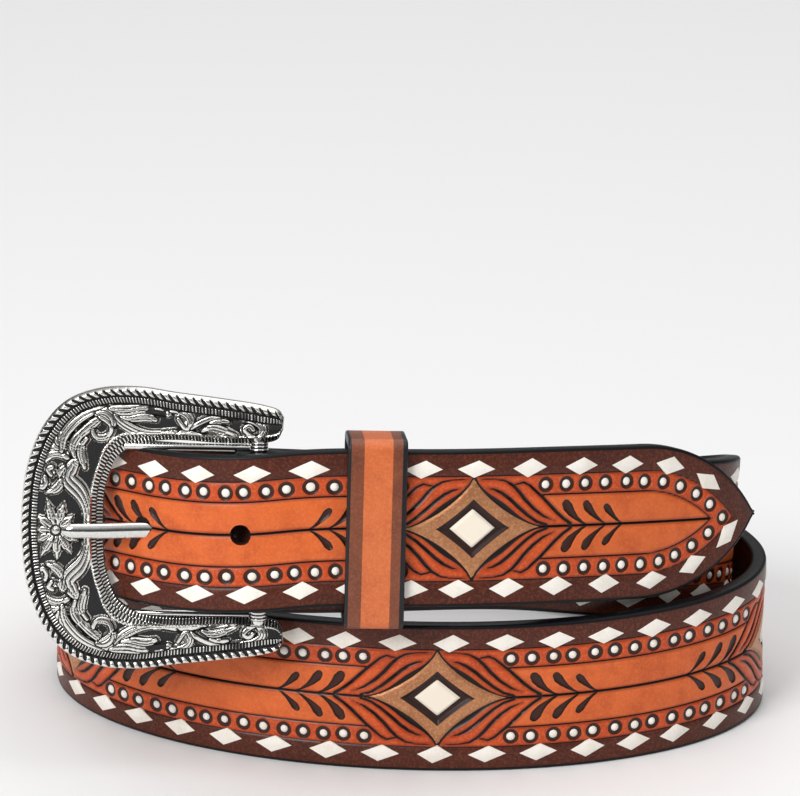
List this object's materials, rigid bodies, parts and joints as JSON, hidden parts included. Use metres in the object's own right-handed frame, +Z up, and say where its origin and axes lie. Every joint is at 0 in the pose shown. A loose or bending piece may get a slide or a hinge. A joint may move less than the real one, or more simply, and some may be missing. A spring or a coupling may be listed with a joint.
{
  "type": "western tooled belt",
  "caption": "Tooled leather belt, buckled and wound in a standing coil, with a horseshoe-shaped cast buckle, prong, keeper loop and pointed tip.",
  "frame": {"origin": "middle of the coil's footprint, on the surface that it stands on", "axes": "+Z up, +X along the coil's length towards the strap's tip, and the buckle's face looks along -Y"},
  "size_m": [0.186, 0.1416, 0.096],
  "materials": {
    "tooled_leather": "tooled and hand-coloured, satin, with a black edge",
    "keeper_leather": "smooth satin with dark painted borders",
    "antique_silver": "cast, bright on the high parts and blackened in the hollows",
    "bright_steel": "polished"
  },
  "bodies": {
    "root": {"buckle_frame": "antique_silver", "prong": "bright_steel", "strap": "tooled_leather", "keeper": "keeper_leather", "rivet_1": "bright_steel", "rivet_2": "bright_steel"}
  },
  "joints": []
}
